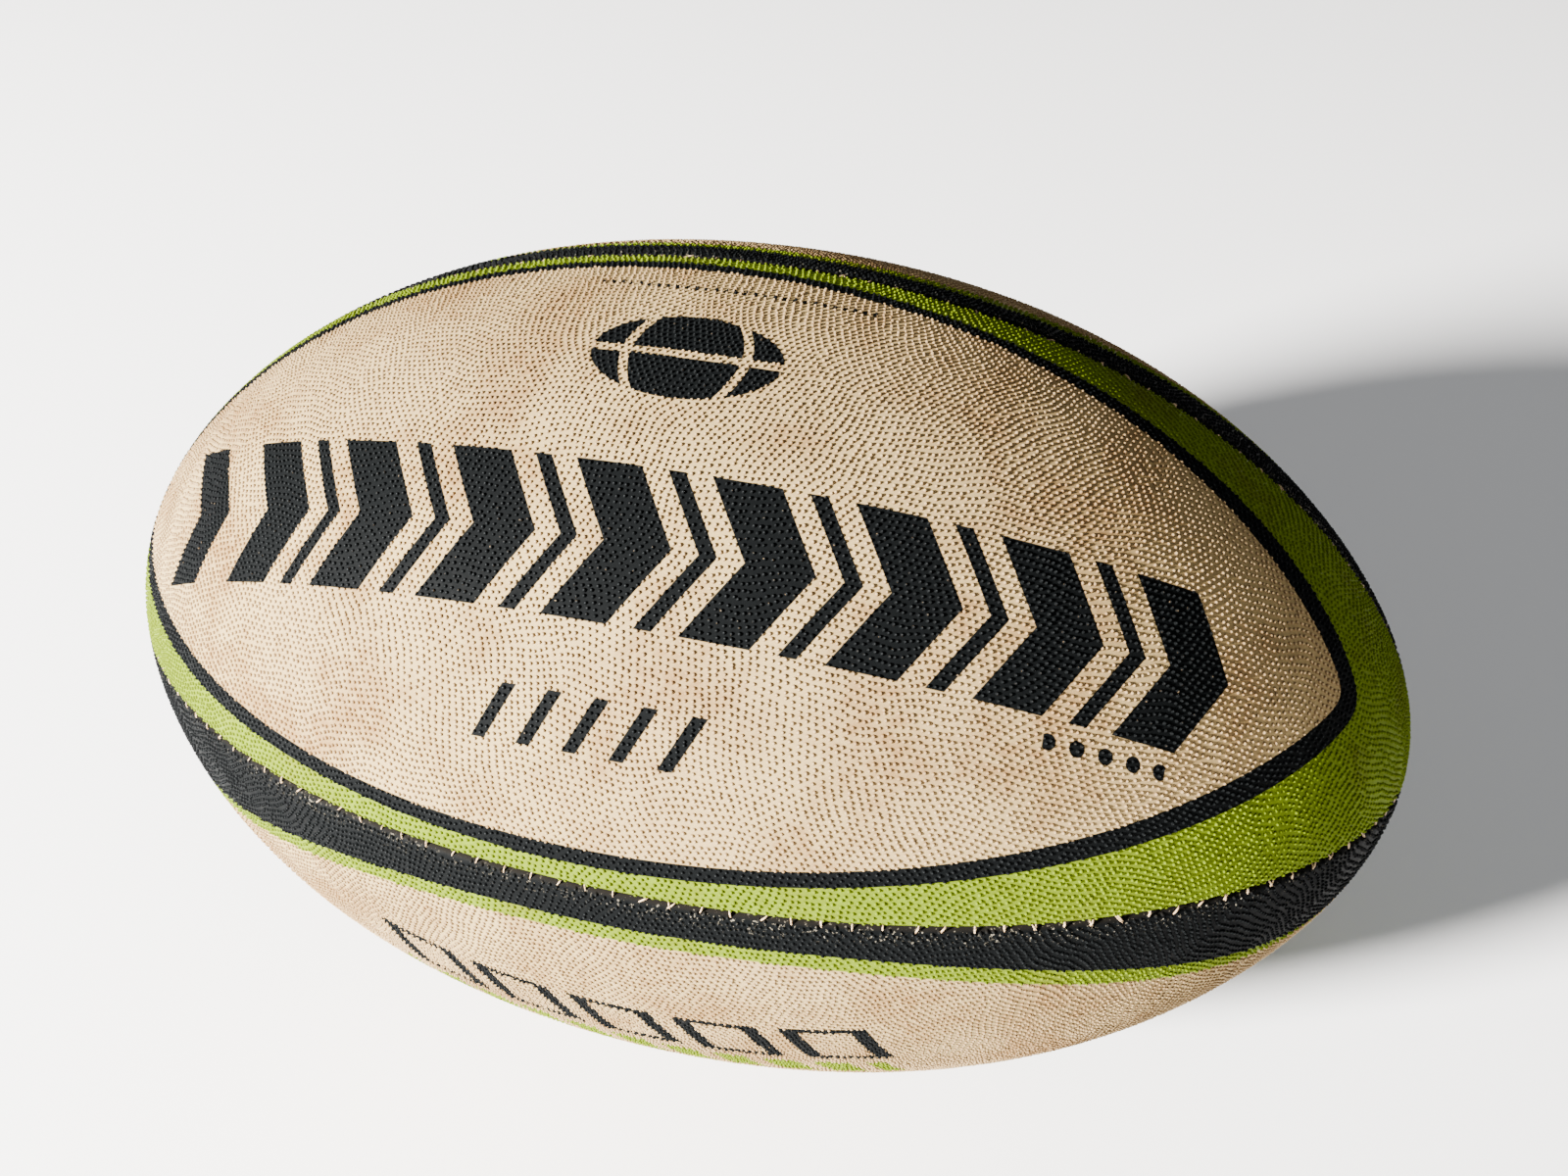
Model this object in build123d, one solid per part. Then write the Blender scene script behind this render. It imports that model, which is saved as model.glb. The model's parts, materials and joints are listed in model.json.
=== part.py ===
from build123d import *
import math
import os

# A size 5 rugby ball, hand stitched from four panels round an air bladder.
# All lengths are millimetres and all angles degrees.
# X runs from tip to tip, Z is up as the ball lies on its side, and the origin is the ball's centre.
# Angles about X start at +Y and turn towards +Z.

# Outline: an ellipse, made a little slimmer towards its tips.
half_length = 148.0
girth_radius = 92.4
tip_slimming = 0.105
outline_steps = 24

# Panels: a rubber cover backed by three cotton plies.
panel_count = 4
first_panel_angle = 120.0
cover_thickness = 0.9
ply_count = 3
ply_thickness = 0.4
bond_line = 0.02
tip_end_radius = 4.0

# Seams: the panel edges are rounded, turned inwards and stitched together through their flanges.
seam_rounding = 1.6
least_rounding = 0.3
flange_depth = 5.0
stitch_pitch = 5.5
stitch_depth = 3.3
stitch_end_radius = 13.0
thread_width = 0.8
rung_radius = 0.3

# Bladder and its valve, which comes up through one panel.
bladder_clearance = 0.1
bladder_thickness = 0.8
valve_panel = 4
valve_turn_from_panel_centre = 22.0
valve_stem_radius = 4.0
valve_stem_length = 16.0
valve_stem_recess = 0.15
valve_hole_clearance = 0.1
valve_flange_radius = 13.0
valve_flange_thickness = 1.2
valve_air_hole_radius = 1.2
core_radius = 2.4
core_recess = 0.8
core_length = 12.0
needle_radius = 1.0
needle_depth = 9.0
core_slit_width = 0.15

# Worked out from the above.
panel_angle = 360.0 / panel_count
first_panel_turn = first_panel_angle - panel_angle / 2
ply_step = ply_thickness + bond_line
wall_depth = cover_thickness + ply_count * ply_step
bladder_depth = flange_depth + bladder_clearance
valve_tilt = panel_angle / 2 + valve_turn_from_panel_centre - 90.0
reach = 2 * half_length
seam_line_turn = 200.0


def outline_point(turn, depth):
    """Return (x, radius) of the outline's point at this turn, moved straight inwards by depth."""
    cosine = math.cos(turn)
    sine = math.sin(turn)
    slimming = 1 - tip_slimming * cosine ** 4
    run = half_length * sine
    rise = girth_radius * cosine * (slimming + 4 * tip_slimming * (cosine * sine) ** 2)
    size = math.hypot(run, rise)
    x = -half_length * cosine + depth * rise / size
    radius = girth_radius * sine * slimming - depth * run / size
    return x, radius


def turn_at_radius(radius, depth):
    """Return the turn, near the -X tip, at which the outline moved inwards by depth has this radius."""
    low = 0.0
    high = math.pi / 2
    while high - low > 1e-9:
        middle = (low + high) / 2
        if outline_point(middle, depth)[1] < radius:
            low = middle
        else:
            high = middle
    return high


def even_turns(start):
    """Return evenly spaced turns from start to the same place at the other tip."""
    return [start + (math.pi - 2 * start) * step / outline_steps for step in range(outline_steps + 1)]


def outline_curve(depth, start):
    """Return the outline, moved inwards by depth and starting at this turn, as a curve in the XZ plane."""
    points = [outline_point(turn, depth) for turn in even_turns(start)]
    return Spline(*[(x, 0, radius) for x, radius in points])


def ball_below(depth):
    """Return the solid of revolution whose surface lies depth below the outside of the ball."""
    points = [(x, 0, radius) for x, radius in (outline_point(turn, depth) for turn in even_turns(0.0))]
    middle = outline_steps // 2
    along = (1, 0, 0)
    first_half = Spline(*points[: middle + 1], tangents=[(0, 0, 1), along])
    second_half = Spline(*points[middle:], tangents=[along, (0, 0, -1)])
    axis_line = Line(second_half @ 1, first_half @ 0)
    half_disc = make_face([first_half, second_half, axis_line])
    return Rot(X=seam_line_turn) * revolve(half_disc, Axis.X, 360)


def gore_section(x, radius, setback, rounding):
    """Return a quarter disc at x, set back from both seam planes, with its two outer corners rounded."""
    near = setback + rounding
    far = math.sqrt((radius - rounding) ** 2 - near ** 2)
    stretch = radius / (radius - rounding)
    middle = radius * math.sqrt(0.5)
    swing = (math.pi + math.atan2(far, near)) / 2
    bulge_across = near + rounding * math.cos(swing)
    bulge_out = far + rounding * math.sin(swing)
    upper_side = Line((x, setback, setback), (x, setback, far))
    upper_corner = ThreePointArc(
        (x, setback, far), (x, bulge_across, bulge_out), (x, near * stretch, far * stretch)
    )
    outside = ThreePointArc(
        (x, near * stretch, far * stretch), (x, middle, middle), (x, far * stretch, near * stretch)
    )
    lower_corner = ThreePointArc(
        (x, far * stretch, near * stretch), (x, bulge_out, bulge_across), (x, far, setback)
    )
    lower_side = Line((x, far, setback), (x, setback, setback))
    return make_face([upper_side, upper_corner, outside, lower_corner, lower_side])


def gore_below(depth):
    """Return the +Y +Z quarter of the ball, set back by depth from its surface and both seam planes."""
    rounding = max(seam_rounding - depth, least_rounding)
    sections = []
    for turn in even_turns(turn_at_radius(tip_end_radius + depth, depth)):
        x, radius = outline_point(turn, depth)
        sections.append(gore_section(x, radius, depth, rounding))
    return loft(sections)


def stitch_places():
    """Return (x, radius) of every stitch along one seam, evenly spaced at the stitching depth."""
    first_turn = turn_at_radius(stitch_end_radius, stitch_depth)
    samples = 2000
    turns = [first_turn + (math.pi - 2 * first_turn) * step / samples for step in range(samples + 1)]
    track = [outline_point(turn, stitch_depth) for turn in turns]
    distances = [0.0]
    for before, after in zip(track, track[1:]):
        distances.append(distances[-1] + math.dist(before, after))
    gaps = round(distances[-1] / stitch_pitch)
    places = []
    for stitch in range(gaps + 1):
        wanted = distances[-1] * stitch / gaps
        nearest = min(range(len(track)), key=lambda index: abs(distances[index] - wanted))
        places.append(track[nearest])
    return places


def panel_layer(outer_depth, inner_depth):
    """Return one layer of a panel in the +Y +Z quarter, with its two flanges turned inwards."""
    return gore_below(outer_depth) - gore_below(inner_depth) - ball_below(flange_depth)


def cover():
    """Return a panel's rubber cover."""
    return panel_layer(0.0, cover_thickness)


def ply(number):
    """Return one of a panel's cotton plies, counted from the outside."""
    outer_depth = cover_thickness + bond_line + (number - 1) * ply_step
    return panel_layer(outer_depth, outer_depth + ply_thickness)


def seam_thread():
    """Return the lock-stitched thread of the seam in the +Z half of the XZ plane.

    A rail of thread runs along each side of the joined flanges, and the rungs that cross between them
    are pulled tight through the flanges, whose awl pricks close round them.
    """
    first_turn = turn_at_radius(stitch_end_radius - thread_width, stitch_depth)
    outer_edge = outline_curve(stitch_depth - thread_width / 2, first_turn)
    inner_edge = outline_curve(stitch_depth + thread_width / 2, first_turn)
    first_end = Line(inner_edge @ 0, outer_edge @ 0)
    last_end = Line(outer_edge @ 1, inner_edge @ 1)
    strip = make_face([outer_edge, last_end, inner_edge, first_end])
    rail_place = wall_depth + bond_line
    rail = extrude(strip, thread_width, dir=(0, 1, 0))
    rails = [Pos(0, rail_place, 0) * rail, Pos(0, -rail_place - thread_width, 0) * rail]
    rung = Rot(X=90) * Cylinder(rung_radius, 2 * rail_place + thread_width)
    rungs = [Pos(x, 0, radius) * rung for x, radius in stitch_places()]
    return rails[0] + (rungs + [rails[1]])


def valve_plug(radius, top_depth, length):
    """Return a round plug on the valve's axis in its panel's quarter, from top_depth inwards."""
    bottom = girth_radius - top_depth - length
    plug = Pos(0, 0, bottom) * Cylinder(radius, length, align=(Align.CENTER, Align.CENTER, Align.MIN))
    return Rot(X=valve_tilt) * plug


def bladder():
    """Return the bladder, a closed air-tight skin that lies just inside the seam flanges."""
    outside = ball_below(bladder_depth)
    inside = ball_below(bladder_depth + bladder_thickness)
    return outside - inside - valve_plug(valve_stem_radius + bond_line, 0, valve_stem_length)


def valve_boot():
    """Return the rubber valve boot: a stem through the panel and a flange bonded inside the bladder."""
    stem = valve_plug(valve_stem_radius, valve_stem_recess, valve_stem_length)
    flange_top = bladder_depth + bladder_thickness + bond_line
    disc = valve_plug(valve_flange_radius, 0, valve_stem_length)
    flange = (disc & ball_below(flange_top)) - ball_below(flange_top + valve_flange_thickness)
    pocket = valve_plug(core_radius + bond_line, -1, core_recess + core_length + 1)
    air_hole = valve_plug(valve_air_hole_radius, 0, 2 * valve_stem_length)
    return stem + flange - pocket - air_hole


def valve_core():
    """Return the soft plug that the inflation needle is pushed into, slit below its needle hole."""
    plug = valve_plug(core_radius, core_recess, core_length)
    needle_hole = valve_plug(needle_radius, 0, core_recess + needle_depth)
    slit_length = core_length - needle_depth
    slit_middle = girth_radius - core_recess - needle_depth - slit_length / 2
    slit = Pos(0, 0, slit_middle) * Box(2 * needle_radius, core_slit_width, slit_length)
    return plug - needle_hole - Rot(X=valve_tilt) * slit


def save(solid, turn, name, tone):
    """Turn a quarter's piece about X to its place and write it."""
    placed = Rot(X=turn) * solid
    placed.label = name
    placed.color = tone
    export_step(placed, f"parts/{name}.step")


def build():
    """Make every piece and write each to its own file."""
    os.makedirs("parts", exist_ok=True)
    rubber_tone = Color(0.80, 0.70, 0.58)
    ply_tone = Color(0.92, 0.90, 0.84)
    thread_tone = Color(0.70, 0.55, 0.35)
    bladder_tone = Color(0.20, 0.20, 0.22)

    valve_hole = valve_plug(valve_stem_radius + valve_hole_clearance, -1, valve_stem_length)
    layers = {"cover": (cover(), rubber_tone)}
    for number in range(1, ply_count + 1):
        layers[f"ply_{number}"] = (ply(number), ply_tone)
    thread = seam_thread()

    for panel in range(1, panel_count + 1):
        turn = first_panel_turn + (panel - 1) * panel_angle
        for layer_name, (layer, tone) in layers.items():
            if panel == valve_panel:
                layer = layer - valve_hole
            save(layer, turn, f"panel_{panel}_{layer_name}", tone)
        save(thread, turn, f"seam_{panel}_thread", thread_tone)

    valve_panel_turn = first_panel_turn + (valve_panel - 1) * panel_angle
    save(bladder(), valve_panel_turn, "bladder", bladder_tone)
    save(valve_boot(), valve_panel_turn, "valve_boot", bladder_tone)
    save(valve_core(), valve_panel_turn, "valve_core", rubber_tone)


build()
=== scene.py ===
import bmesh
import bpy
import json
import math
import numpy as np
from mathutils import Matrix, Vector

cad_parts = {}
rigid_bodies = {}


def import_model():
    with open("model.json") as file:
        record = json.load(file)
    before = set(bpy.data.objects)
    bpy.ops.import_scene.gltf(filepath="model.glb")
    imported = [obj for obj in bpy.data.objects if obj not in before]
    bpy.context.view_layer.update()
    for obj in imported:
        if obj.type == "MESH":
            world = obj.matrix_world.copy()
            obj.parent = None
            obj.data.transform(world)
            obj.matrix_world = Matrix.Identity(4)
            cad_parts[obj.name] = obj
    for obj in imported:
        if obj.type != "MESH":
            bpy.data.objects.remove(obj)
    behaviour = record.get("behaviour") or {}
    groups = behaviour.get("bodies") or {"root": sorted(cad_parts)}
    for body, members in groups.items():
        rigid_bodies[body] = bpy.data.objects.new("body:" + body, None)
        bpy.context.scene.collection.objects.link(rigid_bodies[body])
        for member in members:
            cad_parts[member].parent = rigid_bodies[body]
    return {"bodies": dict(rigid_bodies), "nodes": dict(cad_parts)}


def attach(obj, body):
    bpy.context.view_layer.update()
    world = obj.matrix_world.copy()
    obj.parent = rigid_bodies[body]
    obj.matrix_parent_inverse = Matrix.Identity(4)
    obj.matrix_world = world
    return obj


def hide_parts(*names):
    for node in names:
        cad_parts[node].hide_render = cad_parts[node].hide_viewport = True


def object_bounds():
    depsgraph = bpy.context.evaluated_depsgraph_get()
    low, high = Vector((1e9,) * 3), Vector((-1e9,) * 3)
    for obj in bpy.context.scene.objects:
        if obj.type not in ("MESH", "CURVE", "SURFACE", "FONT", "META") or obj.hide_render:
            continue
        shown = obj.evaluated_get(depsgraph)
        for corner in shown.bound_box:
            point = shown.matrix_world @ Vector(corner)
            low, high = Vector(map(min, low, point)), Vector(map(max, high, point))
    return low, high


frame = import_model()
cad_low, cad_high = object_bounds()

# A rugby ball lying on its side, in metres. X runs from tip to tip and Z is up.
# "along" is the distance over the skin from mid-length towards +X, and "across" is the distance
# round the skin from a panel's centre line. The print is worked out from these two.

MM = 0.001
BODY = list(frame["bodies"])[0]

# The ball's outline and panels, as in the CAD covers. The CAD cuts its tips to small flats.
TIP_FLAT = 0.2 * MM
HALF_LENGTH = (cad_high[0] - cad_low[0]) / 2 + TIP_FLAT
GIRTH_RADIUS = (cad_high[2] - cad_low[2]) / 2
TIP_SLIMMING = 0.105
PANELS = 4
FIRST_PANEL_ANGLE = math.radians(120)
HALF_PANEL = math.pi / PANELS
COVER_THICKNESS = 0.9 * MM
FLANGE_DEPTH = 5.0 * MM
SEAM_ROUNDING = 1.6 * MM
SMALLEST_SHARE = 0.42

# The valve's hole through its cover.
VALVE_PANEL = 4
VALVE_OFFSET = math.radians(22)
VALVE_HOLE_RADIUS = 4.1 * MM
VALVE_HOLE_CORNERS = 64
VALVE_CUT_DEPTH = 6 * COVER_THICKNESS
VALVE_CLEAR_RING = 1.2 * MM

# Skin mesh.
SKIN_STATIONS = 170
FIRST_TURN = 0.012
ARC_POINTS = 56
CORNER_POINTS = 6
INNER_POINTS = 8
SKIN_SHARP_ANGLE = math.radians(50)
TINY = 1e-6

# How a cover's cross-section shrinks towards the tips: its thickness and its inside as shares of
# half a panel's width, and its flange as a share of the ball's radius.
TIP_THICKNESS_SHARE = 0.3
TIP_INSIDE_SHARE = 0.1
TIP_FLANGE_SHARE = 0.6

# The flange's end and the inner corner, as shares of the rolled edge's radius.
FLANGE_PAST_ROLL = 1.02
INNER_CORNER_DEPTH = 0.6
INNER_CORNER_WIDTH = 0.5

# The flat layout that colours are baked to: each band over its width as (start, size), then its
# length in half meridians. A face is a side face below SIDE_FACING, and a flange's side face lies
# further from the centre line than FLANGE_FROM of half a panel's width.
FLAT_OUTSIDE = (0.01, 0.74)
FLAT_INSIDE = (0.77, 0.10)
FLAT_HIGH_FLANGE = (0.885, 0.04)
FLAT_LOW_FLANGE = (0.935, 0.04)
FLAT_VALVE_HOLE = (0.985, 0.01)
FLAT_PIMPLES = (0.02, 0.96)
FLAT_HALF_MERIDIANS = 2.02
SIDE_FACING = 0.2
FLANGE_FROM = 0.9

# Pimples.
PIMPLE_PITCH = 1.34 * MM
PIMPLE_RADIUS = 0.43 * MM
PIMPLE_SCATTER = 0.11 * MM
PIMPLE_HEIGHT = 0.44 * MM
PIMPLE_CORNERS = 5
PIMPLE_RINGS = ((1.0, -0.10), (0.70, 0.66))
PIMPLE_STRIPS = "abc"
PIMPLE_TIP_GAP = 2.2 * MM
PIMPLE_SEAM_GAP = 0.62 * MM
PIMPLE_SIZE_SPREAD = 0.07
PIMPLE_LEAST_SIZE = 0.8
PIMPLE_MOST_SIZE = 1.15
PIMPLE_SHARP_ANGLE = math.radians(75)
SPARE_PIMPLES = 16

# What makes the rows of pimples wander: (wavelength, reach) of each swirl.
SWIRLS = ((88 * MM, 3.4 * MM), (37 * MM, 1.1 * MM), (15 * MM, 0.34 * MM))
SWIRLS_OF_EACH = 2

# Stitches that show in the seams.
STITCH_PITCH = 5.5 * MM
STITCH_TIP_GAP = 16 * MM
STRAND_RADIUS = 0.17 * MM
STRAND_CORNERS = 8
STRAND_STEPS = 10
STRAND_TAPER = 0.4
STRAND_LOBE = 0.2
STRAND_TWIST = 5

# A strand's place in the groove: how far a stitch strays along the seam, then (mean, spread) of
# its lean, half width, shift towards the black edge and depth, and how its ends sink.
STITCH_STRAY = 0.2 * MM
STITCH_LEAN = (0.35 * MM, 0.5 * MM)
STITCH_HALF_WIDTH = (1.1 * MM, 0.15 * MM)
STITCH_SHIFT = (0.42 * MM, 0.15 * MM)
STITCH_DEPTH = (0.24 * MM, 0.07 * MM)
STITCH_BOW = 0.36 * MM
STITCH_PLUNGE = 0.8 * MM
STITCH_PLUNGE_POWER = 7

# Starting numbers of the random draws.
SEED = 5
STRIP_SEED = SEED * 100
STITCH_SEED = SEED + 40


# ---------------------------------------------------------------- the outline

TURN_COUNT = 8001
TURNS = np.linspace(0, math.pi, TURN_COUNT)


def outline(turn):
    """(x, radius, outward normal's x, outward normal's radius) of the outline at these turns."""
    cosine = np.cos(turn)
    sine = np.sin(turn)
    slimming = 1 - TIP_SLIMMING * cosine ** 4
    run = HALF_LENGTH * sine
    rise = GIRTH_RADIUS * cosine * (slimming + 4 * TIP_SLIMMING * (cosine * sine) ** 2)
    size = np.hypot(run, rise)
    return -HALF_LENGTH * cosine, GIRTH_RADIUS * sine * slimming, -rise / size, run / size


def along_at_turns():
    """Distance over the skin from mid-length at each of TURNS."""
    x, radius, _, _ = outline(TURNS)
    distance = np.concatenate([[0.0], np.cumsum(np.hypot(np.diff(x), np.diff(radius)))])
    return distance - distance[-1] / 2


ALONG = along_at_turns()
HALF_MERIDIAN = ALONG[-1]


def skin_radius(along):
    """The ball's radius at this distance along the skin."""
    return outline(np.interp(along, ALONG, TURNS))[1]


def panel_angle(panel):
    """A panel's centre line, about X from +Y towards +Z."""
    return FIRST_PANEL_ANGLE + (panel - 1) * 2 * HALF_PANEL


def edge_rounding(radius):
    """The radius of a cover's rolled edge where the ball has this radius."""
    return np.minimum(SEAM_ROUNDING, SMALLEST_SHARE * radius * HALF_PANEL)


def edge_drop(radius, offset):
    """How far a rolled edge falls below the outline at this angle from the panel's centre line."""
    rounding = edge_rounding(radius)
    to_seam = (HALF_PANEL - np.abs(offset)) * radius
    past = np.clip(rounding - to_seam, 0, rounding)
    return rounding - np.sqrt(rounding ** 2 - past ** 2)


def skin_point(along, swing, height=0.0):
    """Points at these distances along the skin, swung about X from +Y towards +Z."""
    x, radius, normal_x, normal_r = outline(np.interp(along, ALONG, TURNS))
    out = radius + height * normal_r
    return np.stack([x + height * normal_x, out * np.cos(swing), out * np.sin(swing)], axis=-1)


def print_place(points, panel):
    """(along, across, radius, angle from the centre line) of points on or near a panel's skin."""
    turn = np.arccos(np.clip(-points[:, 0] / HALF_LENGTH, -1, 1))
    radius = outline(turn)[1]
    offset = np.arctan2(points[:, 2], points[:, 1]) - panel_angle(panel)
    offset = (offset + math.pi) % (2 * math.pi) - math.pi
    return np.interp(turn, TURNS, ALONG), offset * radius, radius, offset


# ---------------------------------------------------------------- making meshes

def link(name, mesh):
    """A new object on the ball's body."""
    piece = bpy.data.objects.new(name, mesh)
    bpy.context.scene.collection.objects.link(piece)
    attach(piece, BODY)
    return piece


def closed_mesh(name, points, faces):
    """A smooth-shaded mesh of closed shells with every face looking outwards."""
    mesh = bpy.data.meshes.new(name)
    mesh.from_pydata([tuple(point) for point in points], [], [tuple(face) for face in faces])
    shape = bmesh.new()
    shape.from_mesh(mesh)
    bmesh.ops.recalc_face_normals(shape, faces=shape.faces)
    shape.to_mesh(mesh)
    shape.free()
    mesh.polygons.foreach_set("use_smooth", [True] * len(mesh.polygons))
    return mesh


def read_points(mesh):
    """A mesh's vertices as rows of x, y and z."""
    points = np.empty(len(mesh.vertices) * 3)
    mesh.vertices.foreach_get("co", points)
    return points.reshape(-1, 3)


def store(mesh, name, values):
    """One number for each vertex under this name, for the materials to read."""
    layer = mesh.attributes.new(name, "FLOAT", "POINT")
    layer.data.foreach_set("value", np.asarray(values, dtype=np.float32))


def store_print(mesh, panel, pimple):
    """What the printed rubber needs at each vertex.

    pimple is each vertex's share of a pimple's height, and it is -1 on the skin between pimples.
    """
    along, across, radius, offset = print_place(read_points(mesh), panel)
    store(mesh, "along", along)
    store(mesh, "across", across)
    store(mesh, "to_seam", (HALF_PANEL - np.abs(offset)) * radius)
    store(mesh, "pimple", pimple)


def loop_vertices(mesh):
    """The vertex at each face corner."""
    corners = np.empty(len(mesh.loops), dtype=np.int32)
    mesh.loops.foreach_get("vertex_index", corners)
    return corners


def store_uv(mesh, u, v):
    """The flat layout that colours are baked to, from two numbers for each face corner."""
    layer = mesh.uv_layers.new(name="OFBake")
    layer.data.foreach_set("uv", np.stack([u, v], axis=-1).astype(np.float32).ravel())


def flat_along(along):
    """Where this distance along the skin lies over the flat layout's length."""
    return 0.5 + along / (FLAT_HALF_MERIDIANS * HALF_MERIDIAN)


def in_band(band, share):
    """Where this share of a band lies over the flat layout's width."""
    start, size = band
    return start + size * share


# ---------------------------------------------------------------- panel skins

def half_section(radius):
    """Half of a cover's cross-section where the ball has this radius.

    It runs from the skin's centre line over the rolled edge, down the flange and back inside,
    as (angle from the centre line, depth below the skin) pairs.
    """
    rounding = float(edge_rounding(radius))
    thickness = min(COVER_THICKNESS, TIP_THICKNESS_SHARE * radius * HALF_PANEL)
    foot = min(FLANGE_DEPTH, TIP_FLANGE_SHARE * radius)
    roll = rounding / max(radius - rounding, TINY)
    roll_start = HALF_PANEL - roll
    pairs = [(roll_start * step / ARC_POINTS, 0.0) for step in range(ARC_POINTS)]
    for step in range(CORNER_POINTS + 1):
        bend = math.pi / 2 * step / CORNER_POINTS
        pairs.append((roll_start + roll * math.sin(bend), rounding * (1 - math.cos(bend))))
    inner = max(HALF_PANEL - thickness / max(radius - foot, TINY), TIP_INSIDE_SHARE * HALF_PANEL)
    flange_end = max(foot, rounding * FLANGE_PAST_ROLL)
    pairs.append((HALF_PANEL, flange_end))
    pairs.append((inner, flange_end))
    pairs.append((inner, thickness + rounding * INNER_CORNER_DEPTH))
    turn_in = inner - roll * INNER_CORNER_WIDTH
    for step in range(INNER_POINTS + 1):
        pairs.append((turn_in * (1 - step / INNER_POINTS), thickness))
    return pairs


def panel_section(radius):
    """A cover's whole cross-section, as a closed ring of (angle, depth) pairs."""
    half = half_section(radius)
    return half + [(-angle, depth) for angle, depth in reversed(half[1:-1])]


def cut_valve_hole(mesh):
    """Cut the round hole for the valve through its cover."""
    cutter_mesh = bpy.data.meshes.new("valve_hole")
    shape = bmesh.new()
    swing = panel_angle(VALVE_PANEL) + VALVE_OFFSET
    outward = Vector((0, math.cos(swing), math.sin(swing)))
    turned = outward.to_track_quat("Z", "Y").to_matrix().to_4x4()
    bmesh.ops.create_cone(
        shape,
        cap_ends=True,
        segments=VALVE_HOLE_CORNERS,
        radius1=VALVE_HOLE_RADIUS,
        radius2=VALVE_HOLE_RADIUS,
        depth=VALVE_CUT_DEPTH,
        matrix=Matrix.Translation(outward * GIRTH_RADIUS) @ turned,
    )
    shape.to_mesh(cutter_mesh)
    shape.free()
    cutter = bpy.data.objects.new("valve_hole", cutter_mesh)
    cover = bpy.data.objects.new("valve_cover", mesh)
    bpy.context.scene.collection.objects.link(cutter)
    bpy.context.scene.collection.objects.link(cover)
    cut = cover.modifiers.new("hole", "BOOLEAN")
    cut.operation = "DIFFERENCE"
    cut.solver = "EXACT"
    cut.object = cutter
    evaluated = cover.evaluated_get(bpy.context.evaluated_depsgraph_get())
    result = bpy.data.meshes.new_from_object(evaluated)
    bpy.data.objects.remove(cover)
    bpy.data.objects.remove(cutter)
    return result


def lay_skin_flat(mesh, panel):
    """Lay a cover out flat: its outside, its inside, its flanges and its valve hole side by side."""
    along, _, radius, offset = print_place(read_points(mesh), panel)
    corners = loop_vertices(mesh)
    sizes = np.empty(len(mesh.polygons), dtype=np.int32)
    mesh.polygons.foreach_get("loop_total", sizes)
    normals = np.empty(len(mesh.polygons) * 3)
    mesh.polygons.foreach_get("normal", normals)
    centres = np.empty(len(mesh.polygons) * 3)
    mesh.polygons.foreach_get("center", centres)
    centres = centres.reshape(-1, 3)
    turn = np.arccos(np.clip(-centres[:, 0] / HALF_LENGTH, -1, 1))
    _, _, normal_x, normal_r = outline(turn)
    swing = np.arctan2(centres[:, 2], centres[:, 1])
    outward = np.stack([normal_x, normal_r * np.cos(swing), normal_r * np.sin(swing)], axis=-1)
    facing = np.repeat((normals.reshape(-1, 3) * outward).sum(axis=1), sizes)
    middle = np.repeat(print_place(centres, panel)[3], sizes) / HALF_PANEL
    share = (offset / HALF_PANEL)[corners]
    points = read_points(mesh)
    depth = np.clip((radius - np.hypot(points[:, 1], points[:, 2])) / FLANGE_DEPTH, 0, 1)[corners]
    width = (share + 1) / 2
    v = in_band(FLAT_OUTSIDE, width)
    v = np.where(facing < -SIDE_FACING, in_band(FLAT_INSIDE, width), v)
    side = np.abs(facing) <= SIDE_FACING
    v = np.where(side & (middle > FLANGE_FROM), in_band(FLAT_HIGH_FLANGE, depth), v)
    v = np.where(side & (middle < -FLANGE_FROM), in_band(FLAT_LOW_FLANGE, depth), v)
    v = np.where(side & (np.abs(middle) <= FLANGE_FROM), in_band(FLAT_VALVE_HOLE, depth), v)
    store_uv(mesh, flat_along(along)[corners], v)


def panel_skin(panel):
    """A panel's rubber cover as one closed skin, its edges rolled into the seams."""
    turns = np.linspace(FIRST_TURN, math.pi - FIRST_TURN, SKIN_STATIONS)
    x, radii, normal_x, normal_r = outline(turns)
    swing = panel_angle(panel)
    points = []
    for station in range(SKIN_STATIONS):
        for angle, depth in panel_section(radii[station]):
            out = radii[station] - depth * normal_r[station]
            place = x[station] - depth * normal_x[station]
            points.append((place, out * math.cos(swing + angle), out * math.sin(swing + angle)))
    ring = len(points) // SKIN_STATIONS
    faces = []
    for base in range(0, (SKIN_STATIONS - 1) * ring, ring):
        for spot in range(ring):
            after = (spot + 1) % ring
            faces.append((base + spot, base + after, base + ring + after, base + ring + spot))
    faces.append(range(ring))
    faces.append(range((SKIN_STATIONS - 1) * ring, SKIN_STATIONS * ring))
    mesh = closed_mesh(f"panel_{panel}_skin", points, faces)
    if panel == VALVE_PANEL:
        mesh = cut_valve_hole(mesh)
    mesh.set_sharp_from_angle(angle=SKIN_SHARP_ANGLE)
    store_print(mesh, panel, np.full(len(mesh.vertices), -1.0))
    lay_skin_flat(mesh, panel)
    skin = link(f"panel_{panel}_skin", mesh)
    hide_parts(f"panel_{panel}_cover")
    return skin


# ---------------------------------------------------------------- pimples

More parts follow.
